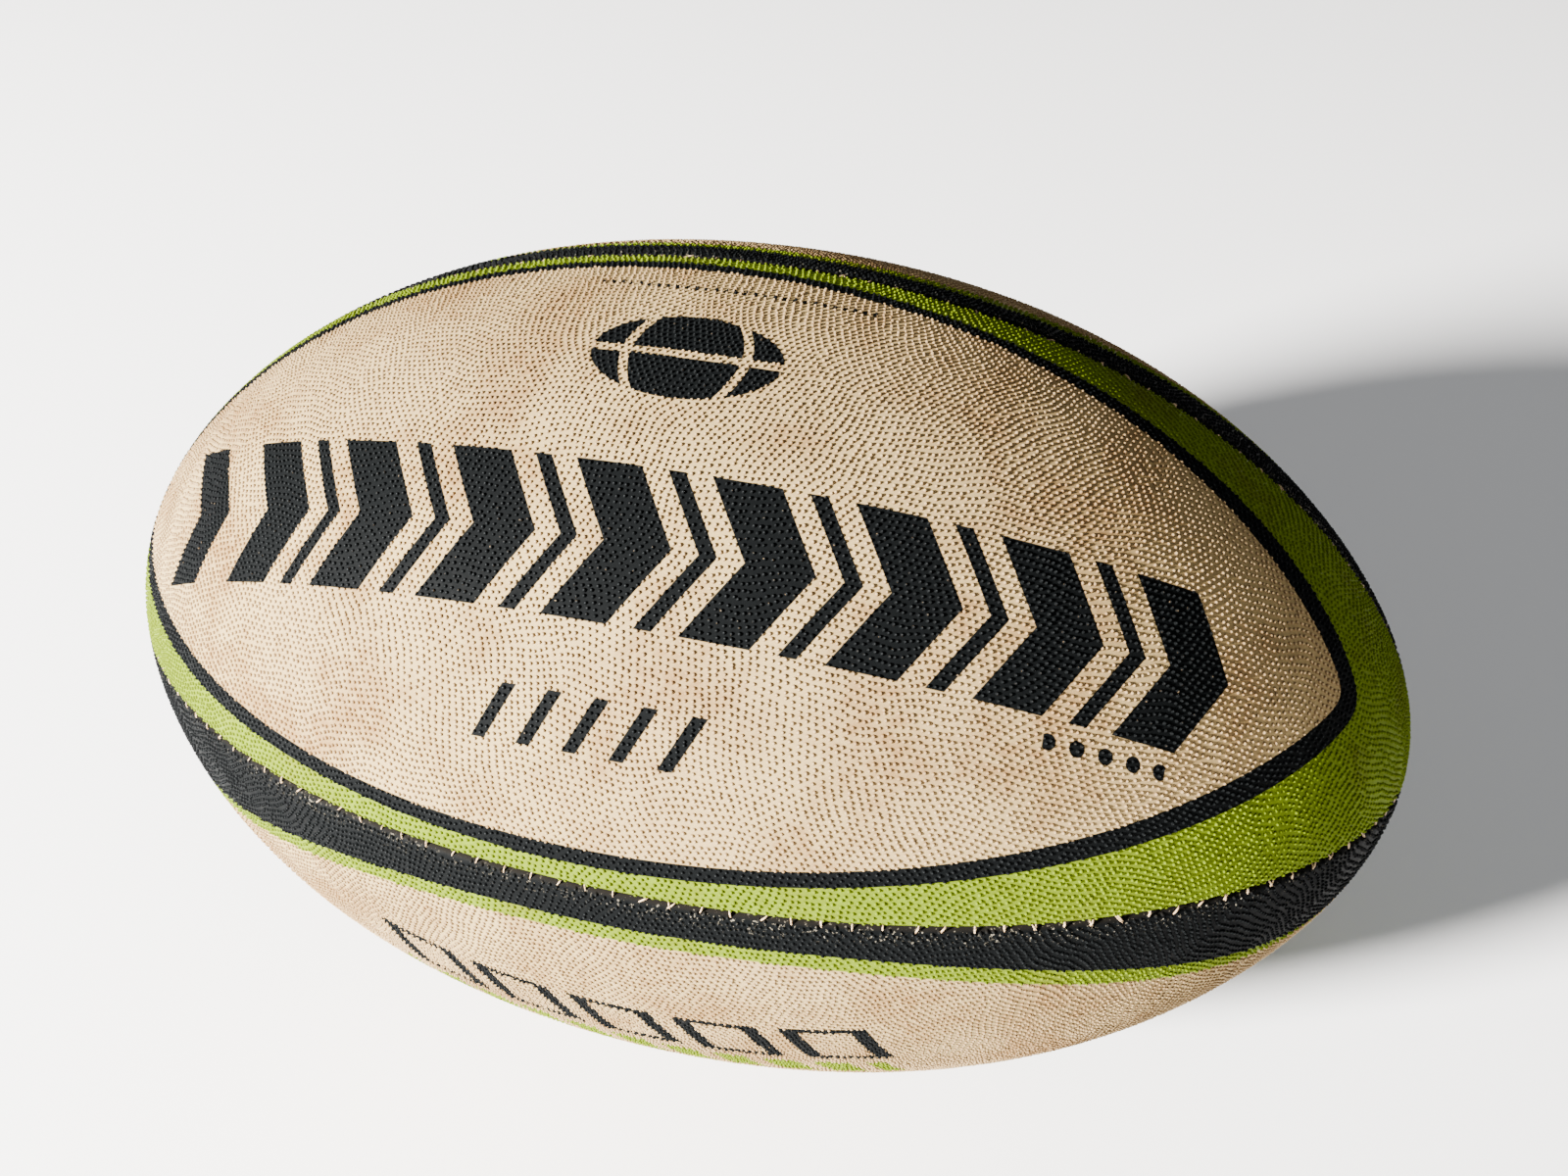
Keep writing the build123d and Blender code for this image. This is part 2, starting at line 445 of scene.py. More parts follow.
def pimple_places(panel):
    """(along, across) of every pimple on a panel, in close rows that wander like a fingerprint's."""
    rng = np.random.default_rng(SEED + panel)
    row_pitch = PIMPLE_PITCH * math.sqrt(3) / 2
    rows = int(2 * GIRTH_RADIUS * HALF_PANEL / row_pitch) + SPARE_PIMPLES
    spots = int(2 * HALF_MERIDIAN / PIMPLE_PITCH) + SPARE_PIMPLES
    row, spot = np.meshgrid(np.arange(rows) - rows // 2, np.arange(spots) - spots // 2, indexing="ij")
    u = (spot + 0.5 * (row % 2)) * PIMPLE_PITCH
    v = row * row_pitch
    start_u = u.copy()
    start_v = v.copy()
    # Each swirl moves the rows round without crowding them: its push is at right angles to its slope.
    for wavelength, reach in SWIRLS:
        for _ in range(SWIRLS_OF_EACH):
            heading = rng.uniform(0, math.pi)
            phase = rng.uniform(0, 2 * math.pi)
            wave = 2 * math.pi / wavelength * (start_u * math.cos(heading) + start_v * math.sin(heading))
            push = reach * np.cos(wave + phase)
            u -= push * math.sin(heading)
            v += push * math.cos(heading)
    u = (u + rng.normal(0, PIMPLE_SCATTER, u.shape)).ravel()
    v = (v + rng.normal(0, PIMPLE_SCATTER, v.shape)).ravel()
    near = np.abs(u) < HALF_MERIDIAN - PIMPLE_TIP_GAP
    u = u[near]
    v = v[near]
    keep = np.abs(v) < skin_radius(u) * HALF_PANEL - PIMPLE_SEAM_GAP
    if panel == VALVE_PANEL:
        to_valve = np.hypot(u, v - VALVE_OFFSET * GIRTH_RADIUS)
        keep &= to_valve > VALVE_HOLE_RADIUS + VALVE_CLEAR_RING
    return u[keep], v[keep]


def pimple_faces():
    """One pimple's faces: two bands of sides, a top and a closed bottom."""
    n = PIMPLE_CORNERS
    faces = []
    for corner in range(n):
        after = (corner + 1) % n
        faces.append((corner, n + after, after))
        faces.append((corner, n + corner, n + after))
        faces.append((n + corner, 2 * n, n + after))
    for corner in range(1, n - 1):
        faces.append((0, corner, corner + 1))
    return np.array(faces)


def pimple_strip(panel, strip):
    """The pimples on one third of a panel's width: small closed domes standing on its skin."""
    u, v = pimple_places(panel)
    radius = skin_radius(u)
    share = v / (radius * HALF_PANEL)
    strips = len(PIMPLE_STRIPS)
    low = -1 + 2 * PIMPLE_STRIPS.index(strip) / strips
    high = low + 2 / strips
    chosen = (share >= low) & (share < high)
    u = u[chosen]
    v = v[chosen]
    radius = radius[chosen]
    count = len(u)
    rng = np.random.default_rng(STRIP_SEED + 10 * panel + PIMPLE_STRIPS.index(strip))
    size = np.clip(rng.normal(1.0, PIMPLE_SIZE_SPREAD, count), PIMPLE_LEAST_SIZE, PIMPLE_MOST_SIZE)
    spin = rng.uniform(0, 2 * math.pi, count)
    centre = v / radius
    layers = []
    lifts = []
    for reach, lift in PIMPLE_RINGS:
        for corner in range(PIMPLE_CORNERS):
            turn = spin + 2 * math.pi * corner / PIMPLE_CORNERS
            aside = centre + PIMPLE_RADIUS * size * reach * np.sin(turn) / radius
            height = PIMPLE_HEIGHT * size * lift - edge_drop(radius, aside)
            place = u + PIMPLE_RADIUS * size * reach * np.cos(turn)
            layers.append(skin_point(place, panel_angle(panel) + aside, height))
            lifts.append(max(lift, 0.0))
    top = PIMPLE_HEIGHT * size - edge_drop(radius, centre)
    layers.append(skin_point(u, panel_angle(panel) + centre, top))
    lifts.append(1.0)
    points = np.stack(layers, axis=1)
    per = points.shape[1]
    faces = (pimple_faces()[None] + (np.arange(count) * per)[:, None, None]).reshape(-1, 3)
    mesh = bpy.data.meshes.new(f"panel_{panel}_pimples_{strip}")
    mesh.vertices.add(count * per)
    mesh.vertices.foreach_set("co", points.reshape(-1).astype(np.float32))
    mesh.loops.add(faces.size)
    mesh.loops.foreach_set("vertex_index", faces.reshape(-1).astype(np.int32))
    mesh.polygons.add(len(faces))
    mesh.polygons.foreach_set("loop_start", np.arange(0, faces.size, 3, dtype=np.int32))
    mesh.polygons.foreach_set("use_smooth", np.ones(len(faces), dtype=bool))
    mesh.update(calc_edges=True)
    mesh.set_sharp_from_angle(angle=PIMPLE_SHARP_ANGLE)
    store_print(mesh, panel, np.tile(lifts, count))
    along, _, _, offset = print_place(read_points(mesh), panel)
    corners = loop_vertices(mesh)
    flat_v = in_band(FLAT_PIMPLES, (offset / HALF_PANEL - low) / (high - low))
    store_uv(mesh, flat_along(along)[corners], np.clip(flat_v, 0, 1)[corners])
    piece = link(mesh.name, mesh)
    return piece


# ---------------------------------------------------------------- seam stitches

def strand(path):
    """Points and faces of a short closed strand of thread along a path, thinner at its ends."""
    points = []
    faces = []
    count = len(path)
    for index, place in enumerate(path):
        ahead = (path[min(index + 1, count - 1)] - path[max(index - 1, 0)]).normalized()
        side = ahead.cross(place.normalized()).normalized()
        up = side.cross(ahead)
        taper = STRAND_TAPER * math.sin(math.pi * index / (count - 1))
        thick = STRAND_RADIUS * ((1 - STRAND_TAPER) + taper)
        for corner in range(STRAND_CORNERS):
            turn = 2 * math.pi * corner / STRAND_CORNERS
            lobe = 1 + STRAND_LOBE * math.cos(2 * turn + STRAND_TWIST * index / count)
            points.append(place + (side * math.cos(turn) + up * math.sin(turn)) * thick * lobe)
    for low in range(0, (count - 1) * STRAND_CORNERS, STRAND_CORNERS):
        for corner in range(STRAND_CORNERS):
            beside = (corner + 1) % STRAND_CORNERS
            above = low + STRAND_CORNERS
            faces.append((low + corner, low + beside, above + beside, above + corner))
    faces.append(range(STRAND_CORNERS))
    faces.append(range((count - 1) * STRAND_CORNERS, count * STRAND_CORNERS))
    return points, faces


def stitches(seam):
    """The pairs of waxed strands that show where each stitch crosses one seam's groove."""
    rng = np.random.default_rng(STITCH_SEED + seam)
    seam_angle = panel_angle(seam) + HALF_PANEL
    end = HALF_MERIDIAN - STITCH_TIP_GAP
    count = int(round(2 * end / STITCH_PITCH))
    # The strands lie nearer the black-edged panel, which comes after odd seams and before even ones.
    black_side = 1 if seam % 2 else -1
    points = []
    faces = []
    for stitch in range(count + 1):
        along = -end + 2 * end * stitch / count + rng.normal(0, STITCH_STRAY)
        for lean_side in (-1, 1)[:rng.integers(1, 3)]:
            lean = lean_side * rng.normal(*STITCH_LEAN)
            half_width = rng.normal(*STITCH_HALF_WIDTH)
            shift = black_side * rng.normal(*STITCH_SHIFT)
            sunk = rng.normal(*STITCH_DEPTH)
            path = []
            for step in range(STRAND_STEPS + 1):
                share = 2 * step / STRAND_STEPS - 1
                plunge = STITCH_PLUNGE * abs(share) ** STITCH_PLUNGE_POWER
                depth = sunk + STITCH_BOW * share ** 2 + plunge
                place = along + lean * share
                aside = (share * half_width + shift) / float(skin_radius(place))
                path.append(Vector(skin_point(place, seam_angle + aside, -depth)))
            strand_points, strand_faces = strand(path)
            base = len(points)
            points.extend(strand_points)
            faces.extend([base + corner for corner in face] for face in strand_faces)
    piece = link(f"seam_{seam}_stitches", closed_mesh(f"seam_{seam}_stitches", points, faces))
    return piece


# ---------------------------------------------------------------- node helpers

class Nodes:
    """Short ways to add and join shader nodes in one material."""

    def __init__(self, name):
        """A new material and its main shader."""
        self.material = bpy.data.materials.new(name)
        self.material.use_nodes = True
        self.tree = self.material.node_tree
        self.shader = self.tree.nodes["Principled BSDF"]

    def join(self, source, target):
        """Link an output to an input, or set the input to a number."""
        if isinstance(source, (int, float)):
            target.default_value = source
        else:
            self.tree.links.new(source, target)

    def math(self, operation, first, second=0.0, clamp=False):
        """One sum on two values."""
        node = self.tree.nodes.new("ShaderNodeMath")
        node.operation = operation
        node.use_clamp = clamp
        self.join(first, node.inputs[0])
        self.join(second, node.inputs[1])
        return node.outputs[0]

    def attribute(self, name):
        """A number stored on the mesh's vertices."""
        node = self.tree.nodes.new("ShaderNodeAttribute")
        node.attribute_name = name
        return node.outputs["Fac"]

    def position(self):
        """The place on the piece, in metres."""
        return self.tree.nodes.new("ShaderNodeTexCoord").outputs["Object"]

    def noise(self, scale, detail=3.0, roughness=0.55, vector=None, distortion=0.0):
        """A noise pattern, from 0 to 1."""
        node = self.tree.nodes.new("ShaderNodeTexNoise")
        node.inputs["Scale"].default_value = scale
        node.inputs["Detail"].default_value = detail
        node.inputs["Roughness"].default_value = roughness
        node.inputs["Distortion"].default_value = distortion
        self.join(vector or self.position(), node.inputs["Vector"])
        return node.outputs["Fac"]

    def ramp(self, value, low, high, from_zero=0.0, to_one=1.0):
        """value mapped from low..high to from_zero..to_one, smoothly and clamped."""
        node = self.tree.nodes.new("ShaderNodeMapRange")
        node.interpolation_type = "SMOOTHSTEP"
        self.join(value, node.inputs["Value"])
        ends = {"From Min": low, "From Max": high, "To Min": from_zero, "To Max": to_one}
        for key, number in ends.items():
            node.inputs[key].default_value = number
        return node.outputs["Result"]

    def mix(self, factor, first, second):
        """The first colour, going over to the second as factor rises."""
        node = self.tree.nodes.new("ShaderNodeMix")
        node.data_type = "RGBA"
        self.join(factor, node.inputs["Factor"])
        for value, key in ((first, "A"), (second, "B")):
            socket = [entry for entry in node.inputs if entry.name == key and entry.type == "RGBA"][0]
            if isinstance(value, tuple):
                socket.default_value = (*value, 1.0)
            else:
                self.tree.links.new(value, socket)
        return [entry for entry in node.outputs if entry.type == "RGBA"][0]

    def most(self, *values):
        """The largest of these values."""
        total = values[0]
        for value in values[1:]:
            total = self.math("MAXIMUM", total, value)
        return total

    def least(self, *values):
        """The smallest of these values."""
        total = values[0]
        for value in values[1:]:
            total = self.math("MINIMUM", total, value)
        return total

    def bump(self, height, strength, distance):
        """Fine relief on the material, from a height."""
        node = self.tree.nodes.new("ShaderNodeBump")
        node.inputs["Strength"].default_value = strength
        node.inputs["Distance"].default_value = distance
        self.join(height, node.inputs["Height"])
        self.tree.links.new(node.outputs["Normal"], self.shader.inputs["Normal"])


# ---------------------------------------------------------------- the printed rubber

# Colours of the printed rubber. The pimples' foot colours are painted shade, their tip colours are
# painted highlights, and the dark seam colour is painted shade in the groove.
BEIGE = (0.322, 0.229, 0.099)
BEIGE_FOOT_SHADE = (0.150, 0.092, 0.042)
BEIGE_TOP = (0.300, 0.204, 0.102)
BEIGE_TIP_HIGHLIGHT = (0.460, 0.345, 0.180)
DIRT = (0.060, 0.032, 0.012)
SMEAR = (0.170, 0.092, 0.036)
BLACK = (0.0027, 0.0031, 0.0033)
BLACK_TIP_HIGHLIGHT = (0.022, 0.024, 0.025)
GREEN = (0.103, 0.150, 0.0040)
GREEN_WORN = (0.085, 0.120, 0.003)
GREEN_FOOT_SHADE = (0.045, 0.065, 0.002)
FLECK = (0.26, 0.23, 0.17)
SEAM_SHADE = (0.012, 0.010, 0.008)
EDGE_SOFTNESS = 0.12 * MM

# Noise patterns from coarse to fine: (scale, detail, roughness).
CLOUD = (14.0, 4.0, 0.6)
STAIN = (45.0, 5.0, 0.65)
GRIME = (420.0, 3.0, 0.6)
SPECK = (1500.0, 2.0, 0.6)

# The parts of a pimple, as (share of its height where a part begins, share where it is full). The
# stored share is -1 on the skin between pimples, so all of a pimple counts as raised.
RAISED = (-0.9, -0.1)
TOP = (0.05, 0.9)
# The tip is where the painted highlights go.
TIP_HIGHLIGHT = (0.72, 1.0)

# How strongly each kind of wear, painted highlight and painted shade shows, as (pattern or distance
# to the seam where it begins, where it ends, strength before, strength after). The last of them is the
# rubber's roughness.
CLOUDED = (0.35, 0.70, 0.0, 0.30)
SETTLED_BY_STAIN = (0.30, 0.66, 0.10, 0.60)
SETTLED_BY_GRIME = (0.30, 0.62, 0.5, 1.08)
SMEARED_BY_STAIN = (0.44, 0.68, 0.0, 0.80)
SMEARED_BY_GRIME = (0.30, 0.70, 0.35, 1.0)
GREEN_WEAR = (0.3, 0.7, 0.0, 1.0)
GREEN_STAINED = (0.50, 0.78, 0.0, 0.40)
BLACK_TIP_HIGHLIGHTED = (0.30, 0.60, 0.0, 1.0)
RUBBED_BY_SEAM = (0.8 * MM, 5.0 * MM, 1.0, 0.0)
RUBBED_BY_SPECK = (0.60, 0.72, 0.0, 1.0)
RUBBED_BY_CLOUD = (0.38, 0.62, 0.15, 0.8)
INK_WORN = (0.66, 0.80, 0.0, 0.5)
SHADE_BY_SEAM = (0.0, 1.1 * MM, 0.75, 0.0)
RUBBER_DULLNESS = (0.25, 0.75, 0.50, 0.70)

# Dirt away from the pimples' feet, how strongly painted shade darkens the green at the feet, how much
# the feet dull the rubber, the rubber's sheen, and its fine grain.
DIRT_OFF_FEET = 0.30
GREEN_FOOT_SHADE_STRENGTH = 0.8
FOOT_DULLNESS = 0.12
RUBBER_SPECULAR = 0.015
GRAIN_OF_GRIME = 0.8
GRAIN_STRENGTH = 0.30
GRAIN_HEIGHT = 0.08 * MM

# The printed ovals: (middle along the panel, half length, half width, power of the length's
# share, power of what is left of it, rounding of the tips). The first is the outer edge of an
# oval's line and the second its inner edge.
GREEN_PANEL_OVALS = (
    (-6.0 * MM, 150.9 * MM, 64.4 * MM, 1.99, 0.89, 3.0 * MM),
    (-5.8 * MM, 145.0 * MM, 60.9 * MM, 2.09, 0.97, 3.0 * MM),
)
BLACK_PANEL_OVALS = (
    (5.5 * MM, 158.5 * MM, 64.5 * MM, 2.41, 1.41, 0.0),
    (5.1 * MM, 166.8 * MM, 61.1 * MM, 2.45, 1.85, 0.0),
)

# The plain marks in place of a maker's print, each place as (along, across).
CHEVRONS = (0.0, 6.7 * MM)
CHEVRON_PITCH = 26 * MM
CHEVRON_HALF_HEIGHT = 14.8 * MM
CHEVRON_BEND = 0.62
BALL_SIGN = (-2 * MM, -34 * MM)
DASHES = (-4 * MM, 40 * MM)
DOTS = (88 * MM, 25.5 * MM)
TICKS = (1.5 * MM, -55.5 * MM)
WINDOW_BARS = (1 * MM, -30 * MM)
WINDOW_BAR_PITCH = 21.6 * MM
GREEN_BARS = (1 * MM, -13 * MM)
BLACK_PANEL_HALF_RUN = 54 * MM
BLACK_PANEL_LEAN = -0.35

# The ball sign's end seams: how far out they lie and how much they bend, as shares of its half run.
SIGN_END_SEAM = 0.62
SIGN_SEAM_BEND = 0.2


def oval(n, along, across, shape):
    """How far a point lies inside one of the printed ovals, measured across the panel."""
    middle, half_length, half_width, share_power, left_power, rounding = shape
    run = n.math("ABSOLUTE", n.math("SUBTRACT", along, middle))
    share = n.math("DIVIDE", run, half_length)
    left = n.math("MAXIMUM", n.math("SUBTRACT", 1.0, n.math("POWER", share, share_power)), 0.0)
    width = n.math("MULTIPLY", n.math("POWER", left, left_power), half_width)
    squared = n.math("ADD", n.math("MULTIPLY", across, across), rounding ** 2)
    depth = n.math("SUBTRACT", n.math("ADD", width, rounding), n.math("SQRT", squared))
    return n.least(depth, n.math("SUBTRACT", half_length, run))


def inside(n, margin):
    """1 where margin is positive and 0 where it is negative, with a crisp printed edge."""
    return n.ramp(margin, -EDGE_SOFTNESS, EDGE_SOFTNESS)


def bar_row(n, along, across, place, half_run, half_height, pitch, half_bar, lean=0.0, bent=False):
    """A row of bars centred on place, leaning or bent into chevrons, as a depth inside them."""
    local = n.math("SUBTRACT", across, place[1])
    lift = n.math("ABSOLUTE", local) if bent else local
    leaned = n.math("ADD", n.math("SUBTRACT", along, place[0]), n.math("MULTIPLY", lift, lean))
    bar = n.math("SUBTRACT", half_bar, n.math("PINGPONG", leaned, pitch / 2))
    tall = n.math("SUBTRACT", half_height, n.math("ABSOLUTE", local))
    long = n.math("SUBTRACT", half_run, n.math("ABSOLUTE", leaned))
    return n.least(bar, tall, long)


def dot_row(n, along, across, place, half_run, pitch, radius):
    """A row of round dots centred on place."""
    local = n.math("SUBTRACT", across, place[1])
    run = n.math("SUBTRACT", along, place[0])
    cell = n.math("PINGPONG", run, pitch / 2)
    squares = n.math("ADD", n.math("MULTIPLY", cell, cell), n.math("MULTIPLY", local, local))
    dot = n.math("SUBTRACT", radius, n.math("SQRT", squares))
    return n.least(dot, n.math("SUBTRACT", half_run, n.math("ABSOLUTE", run)))


def ball_sign(n, along, across, place, half_run, half_height, half_line):
    """A plain picture of a ball: a solid ellipse with its middle and end seams left bare."""
    run = n.math("SUBTRACT", along, place[0])
    local = n.math("SUBTRACT", across, place[1])
    du = n.math("DIVIDE", run, half_run)
    dv = n.math("DIVIDE", local, half_height)
    reach = n.math("SQRT", n.math("ADD", n.math("MULTIPLY", du, du), n.math("MULTIPLY", dv, dv)))
    solid = n.math("MULTIPLY", n.math("SUBTRACT", 1.0, reach), half_height)
    off_middle = n.math("SUBTRACT", n.math("ABSOLUTE", local), half_line)
    bend = n.math("MULTIPLY", n.math("MULTIPLY", dv, dv), half_run * SIGN_SEAM_BEND)
    bent_run = n.math("ADD", n.math("ABSOLUTE", run), bend)
    to_end = n.math("SUBTRACT", bent_run, half_run * SIGN_END_SEAM)
    off_end = n.math("SUBTRACT", n.math("ABSOLUTE", to_end), half_line)
    return n.least(solid, off_middle, off_end)


def without(n, margin, hole):
    """A shape with another cut out of it."""
    return n.least(margin, n.math("MULTIPLY", hole, -1.0))


def green_panel_marks(n, along, across):
    """Bold and slim chevrons by turns, a plain ball sign above, dashes and dots below."""
    between = (CHEVRONS[0] + CHEVRON_PITCH / 2, CHEVRONS[1])
    chevron = dict(half_height=CHEVRON_HALF_HEIGHT, pitch=CHEVRON_PITCH, lean=CHEVRON_BEND, bent=True)
    dash = dict(half_run=22.6 * MM, half_height=5.4 * MM, pitch=9 * MM, half_bar=1.4 * MM, lean=0.5)
    tick = dict(half_run=29 * MM, half_height=0.7 * MM, pitch=2.0 * MM, half_bar=0.45 * MM)
    return n.most(
        bar_row(n, along, across, CHEVRONS, half_run=111 * MM, half_bar=6.4 * MM, **chevron),
        bar_row(n, along, across, between, half_run=98 * MM, half_bar=1.7 * MM, **chevron),
        ball_sign(n, along, across, BALL_SIGN, half_run=19 * MM, half_height=11 * MM, half_line=0.9 * MM),
        bar_row(n, along, across, DASHES, **dash),
        dot_row(n, along, across, DOTS, half_run=12 * MM, pitch=5.5 * MM, radius=1.5 * MM),
        bar_row(n, along, across, TICKS, **tick),
    )


def black_panel_marks(n, along, across):
    """A row of leaning bars with bare windows, thicker at their sides than above and below."""
    row = dict(half_run=BLACK_PANEL_HALF_RUN, pitch=WINDOW_BAR_PITCH, lean=BLACK_PANEL_LEAN)
    bars = bar_row(n, along, across, WINDOW_BARS, half_height=7.8 * MM, half_bar=8.6 * MM, **row)
    windows = bar_row(n, along, across, WINDOW_BARS, half_height=6.2 * MM, half_bar=5.2 * MM, **row)
    return without(n, bars, windows)


def black_panel_green_marks(n, along, across):
    """A row of solid green bars at half the pitch, between the windowed ones and the centre line."""
    bar = dict(half_height=5.4 * MM, pitch=WINDOW_BAR_PITCH / 2, half_bar=3.6 * MM)
    row = dict(half_run=BLACK_PANEL_HALF_RUN, lean=BLACK_PANEL_LEAN)
    return bar_row(n, along, across, GREEN_BARS, **bar, **row)


def printed_rubber(name, green_edged):
    """The printed, pimpled and worn rubber of a panel, edged in green or in black."""
    n = Nodes(name)
    along = n.attribute("along")
    across = n.attribute("across")
    pimple = n.attribute("pimple")
    to_seam = n.attribute("to_seam")

    cloud = n.noise(*CLOUD)
    stain = n.noise(*STAIN)
    grime = n.noise(*GRIME)
    speck = n.noise(*SPECK)
    raised = n.ramp(pimple, *RAISED)
    top = n.ramp(pimple, *TOP)
    foot = n.math("SUBTRACT", raised, top)
    tip_highlight = n.ramp(pimple, *TIP_HIGHLIGHT)

    # The pimples are painted a little darker than the skin, with painted shade at their feet and a
    # painted highlight at their tips. Dirt has settled round their feet, more in some places than in
    # others, and the extra darkness it gives the feet is partly painted shade.
    rubber = n.mix(raised, BEIGE, n.mix(top, BEIGE_FOOT_SHADE, BEIGE_TOP))
    rubber = n.mix(tip_highlight, rubber, BEIGE_TIP_HIGHLIGHT)
    rubber = n.mix(n.ramp(cloud, *CLOUDED), rubber, BEIGE_TOP)
    settled_dirt_and_foot_shade = n.math("MULTIPLY", n.ramp(stain, *SETTLED_BY_STAIN), n.math("ADD", foot, DIRT_OFF_FEET))
    settled_dirt_and_foot_shade = n.math("MULTIPLY", settled_dirt_and_foot_shade, n.ramp(grime, *SETTLED_BY_GRIME))
    rubber = n.mix(settled_dirt_and_foot_shade, rubber, DIRT)
    smeared = n.math("MULTIPLY", n.ramp(stain, *SMEARED_BY_STAIN), n.ramp(grime, *SMEARED_BY_GRIME))
    rubber = n.mix(smeared, rubber, SMEAR)

    green = n.mix(n.ramp(grime, *GREEN_WEAR), GREEN, GREEN_WORN)
    # Painted shade darkens the green round the pimples' feet.
    green = n.mix(n.math("MULTIPLY", foot, GREEN_FOOT_SHADE_STRENGTH), green, GREEN_FOOT_SHADE)
    green = n.mix(n.ramp(stain, *GREEN_STAINED), green, DIRT)
    # A painted highlight greys the tips of scattered black pimples.
    black = n.mix(n.math("MULTIPLY", tip_highlight, n.ramp(speck, *BLACK_TIP_HIGHLIGHTED)), BLACK, BLACK_TIP_HIGHLIGHT)

    # Rubbing has flecked the print beside the seams.
    rubbed = n.math("MULTIPLY", n.ramp(to_seam, *RUBBED_BY_SEAM), n.ramp(speck, *RUBBED_BY_SPECK))
    rubbed = n.math("MULTIPLY", rubbed, n.ramp(cloud, *RUBBED_BY_CLOUD))

    if green_edged:
        outer, inner = GREEN_PANEL_OVALS
        edge, line = green, black
        marks = green_panel_marks(n, along, across)
    else:
        outer, inner = BLACK_PANEL_OVALS
        edge, line = n.mix(rubbed, black, FLECK), green
        marks = black_panel_marks(n, along, across)
    colour = n.mix(inside(n, oval(n, along, across, outer)), edge, line)
    colour = n.mix(inside(n, oval(n, along, across, inner)), colour, rubber)
    worn = n.math("MULTIPLY", n.ramp(speck, *INK_WORN), top)
    left = n.math("SUBTRACT", 1.0, worn)
    if not green_edged:
        tint = inside(n, black_panel_green_marks(n, along, across))
        colour = n.mix(n.math("MULTIPLY", tint, left), colour, green)
    colour = n.mix(n.math("MULTIPLY", inside(n, marks), left), colour, black)
    # Painted shade darkens the print next to the seams, down in the groove.
    colour = n.mix(n.ramp(to_seam, *SHADE_BY_SEAM), colour, SEAM_SHADE)

    n.tree.links.new(colour, n.shader.inputs["Base Color"])
    dull = n.ramp(grime, *RUBBER_DULLNESS)
    n.join(n.math("ADD", dull, n.math("MULTIPLY", foot, FOOT_DULLNESS)), n.shader.inputs["Roughness"])
    n.shader.inputs["Specular IOR Level"].default_value = RUBBER_SPECULAR
    grain = n.math("ADD", speck, n.math("MULTIPLY", grime, GRAIN_OF_GRIME))
    n.bump(grain, GRAIN_STRENGTH, GRAIN_HEIGHT)
    return n.material


# ---------------------------------------------------------------- other materials

TWIST_PITCH = 0.7 * MM
THREAD_DARK = (0.24, 0.14, 0.06)
THREAD_LIGHT = (0.66, 0.47, 0.26)
WEAVE_PITCH = 0.8 * MM
CLOTH_DARK = (0.55, 0.50, 0.39)
CLOTH_LIGHT = (0.80, 0.76, 0.66)
LATEX = (0.62, 0.50, 0.30)
BLADDER_TINTS = ((0.014, 0.014, 0.016), (0.03, 0.03, 0.034))
VALVE_TINTS = ((0.018, 0.018, 0.019), (0.05, 0.048, 0.044))

# Moulded rubber's fine grain: how much finer it is than the mottling, and how far it moves the
# roughness either way.
GRAIN_FINENESS = 9
GRAIN_ROUGHNESS = 0.08


def mottled_material(name, tints, scale, roughness, grain):
    """A two-tone mottled material with a fine grain, for moulded rubber."""
    n = Nodes(name)
    mottle = n.noise(scale, detail=4.0, roughness=0.6)
    fine = n.noise(scale * GRAIN_FINENESS, detail=2.0, roughness=0.5)
    n.tree.links.new(n.mix(n.ramp(mottle, low=0.3, high=0.7), *tints), n.shader.inputs["Base Color"])
    dull = n.ramp(fine, 0.2, 0.8, roughness - GRAIN_ROUGHNESS, roughness + GRAIN_ROUGHNESS)
    n.join(dull, n.shader.inputs["Roughness"])
    n.bump(fine, strength=0.4, distance=grain)
    return n.material


def around_and_along(n):
    """Distance round the ball's long axis and along it, both in metres."""
    split = n.tree.nodes.new("ShaderNodeSeparateXYZ")
    n.tree.links.new(n.position(), split.inputs[0])
    turn = n.math("ARCTAN2", split.outputs["Z"], split.outputs["Y"])
    return n.math("MULTIPLY", turn, GIRTH_RADIUS), split.outputs["X"]


def thread_material(name):
    """Waxed thread: two twisted plies, tan and grubby."""
    n = Nodes(name)
    around, lengthwise = around_and_along(n)
    diagonal = n.math("ADD", around, lengthwise)
    twist = n.math("SINE", n.math("MULTIPLY", diagonal, 2 * math.pi / TWIST_PITCH))
    shade = n.math("ADD", n.math("MULTIPLY", twist, 0.25), n.noise(900.0))
    tan = n.mix(n.ramp(shade, low=0.2, high=0.9), THREAD_DARK, THREAD_LIGHT)
    n.tree.links.new(tan, n.shader.inputs["Base Color"])
    dull = n.ramp(shade, low=0.2, high=0.9, from_zero=0.70, to_one=0.48)
    n.join(dull, n.shader.inputs["Roughness"])
    n.bump(twist, strength=0.5, distance=0.06 * MM)
    return n.material


